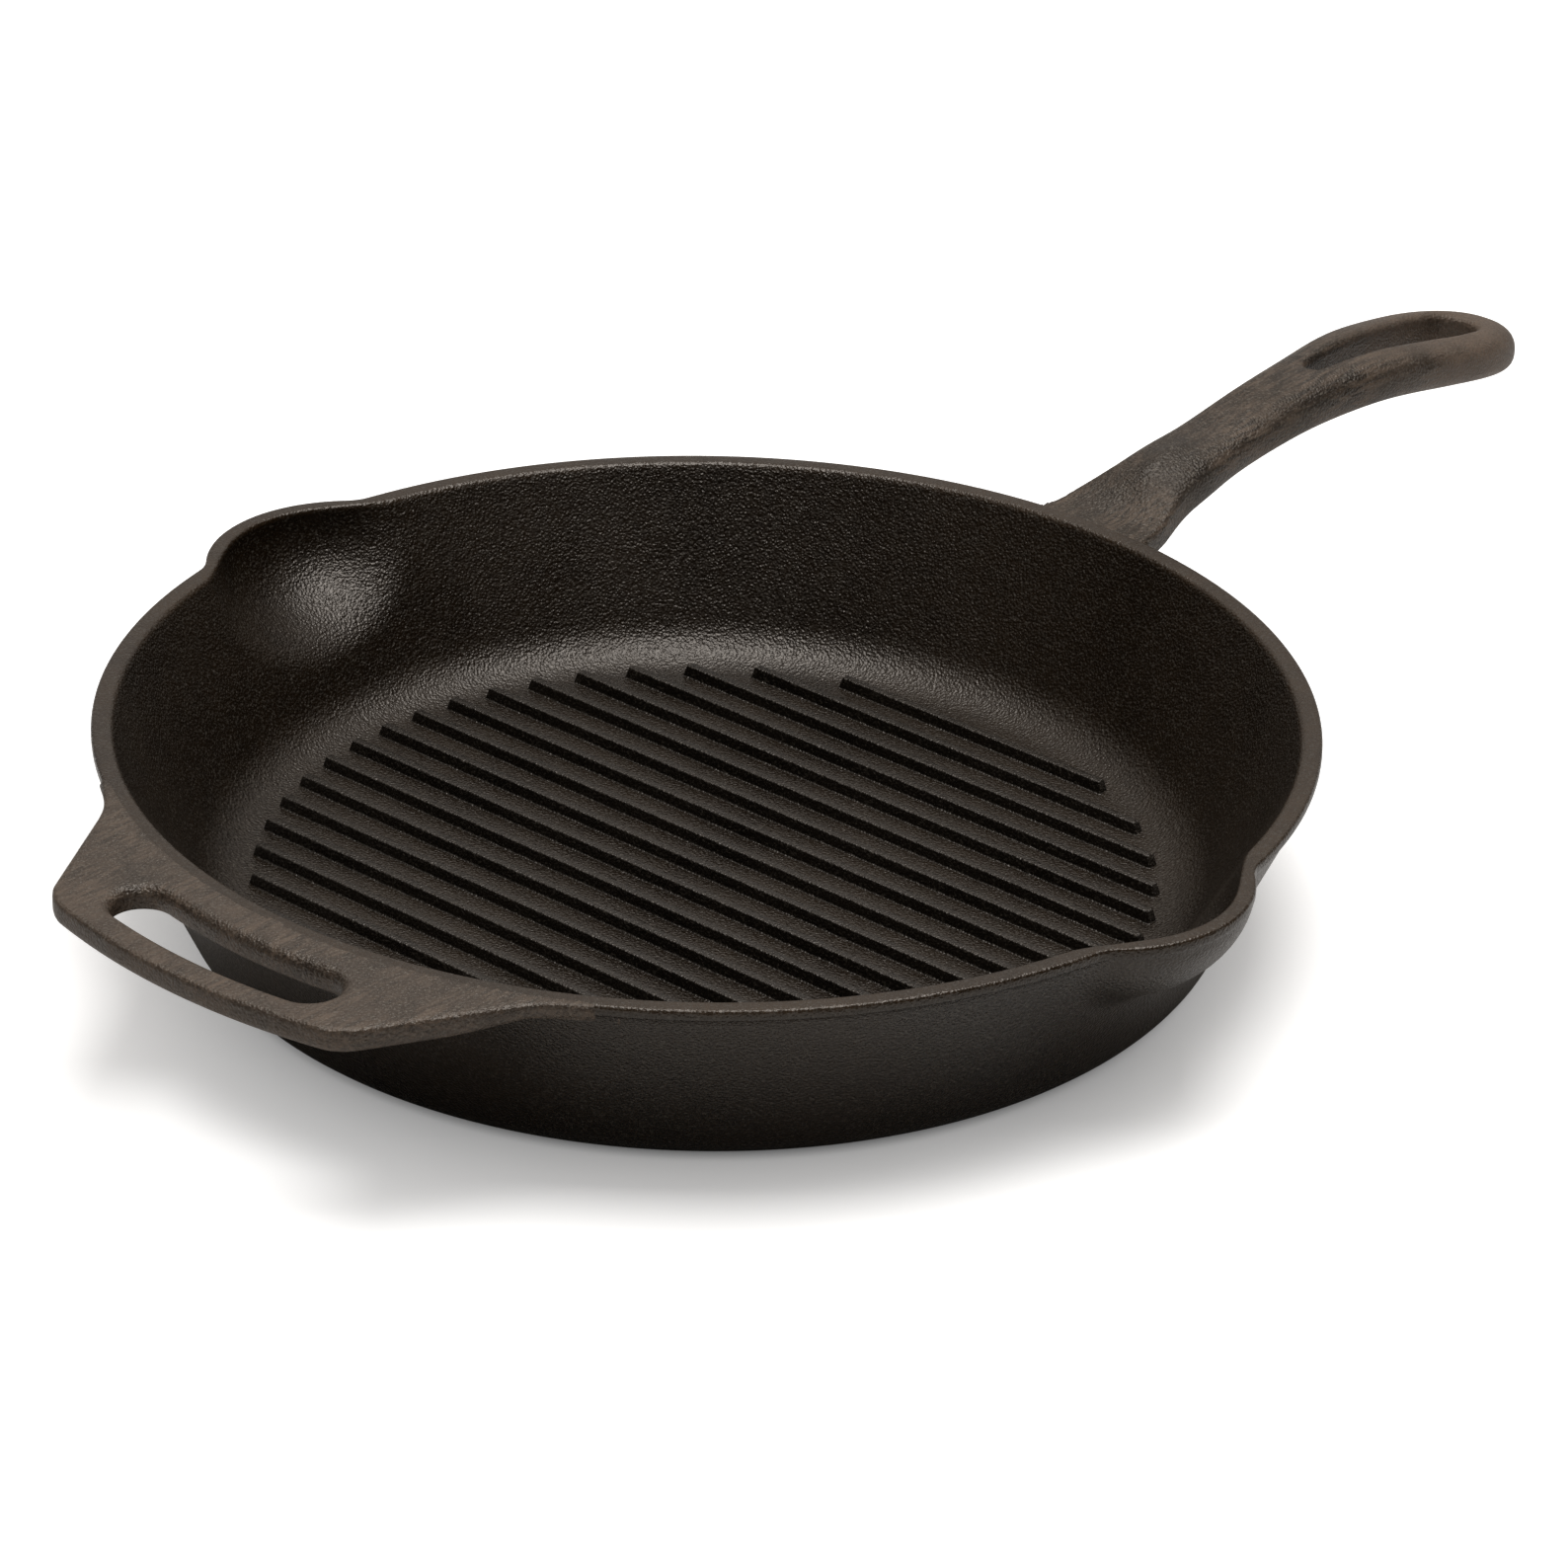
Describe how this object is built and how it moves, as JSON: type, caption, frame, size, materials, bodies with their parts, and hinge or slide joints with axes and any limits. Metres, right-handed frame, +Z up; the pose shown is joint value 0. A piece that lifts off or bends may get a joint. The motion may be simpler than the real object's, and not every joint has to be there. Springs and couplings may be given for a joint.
{
  "type": "grill pan",
  "caption": "Round cast-iron grill pan with a ribbed floor, a pouring spout on each side, a long arched handle with a hanging hole and a short helper handle with a finger slot.",
  "frame": {"origin": "centre of the flat underside that the pan rests on", "axes": "+X along the long handle, +Z up, +Y towards the left pouring spout"},
  "size_m": [0.5252, 0.3306, 0.0711],
  "materials": {
    "pan_base": "seasoned, fine orange-peel grain, satin",
    "side_wall": "seasoned, orange-peel grain, satin",
    "rim_band": "seasoned, worn slightly lighter",
    "pour_spout": "seasoned, orange-peel grain, satin",
    "long_handle": "seasoned, fine grain, warm brown tone",
    "helper_handle": "seasoned, fine grain, warm brown tone",
    "grill_rib": "seasoned, satin, crest slightly polished"
  },
  "bodies": {
    "root": {"pan_base": "pan_base", "side_wall": "side_wall", "rim_band": "rim_band", "left_pour_spout": "pour_spout", "right_pour_spout": "pour_spout", "long_handle": "long_handle", "helper_handle": "helper_handle", "grill_rib_01": "grill_rib", "grill_rib_02": "grill_rib", "grill_rib_03": "grill_rib", "grill_rib_04": "grill_rib", "grill_rib_05": "grill_rib", "grill_rib_06": "grill_rib", "grill_rib_07": "grill_rib", "grill_rib_08": "grill_rib", "grill_rib_09": "grill_rib", "grill_rib_10": "grill_rib", "grill_rib_11": "grill_rib", "grill_rib_12": "grill_rib", "grill_rib_13": "grill_rib", "grill_rib_14": "grill_rib", "grill_rib_15": "grill_rib", "grill_rib_16": "grill_rib", "grill_rib_17": "grill_rib", "grill_rib_18": "grill_rib", "grill_rib_19": "grill_rib"}
  },
  "joints": []
}
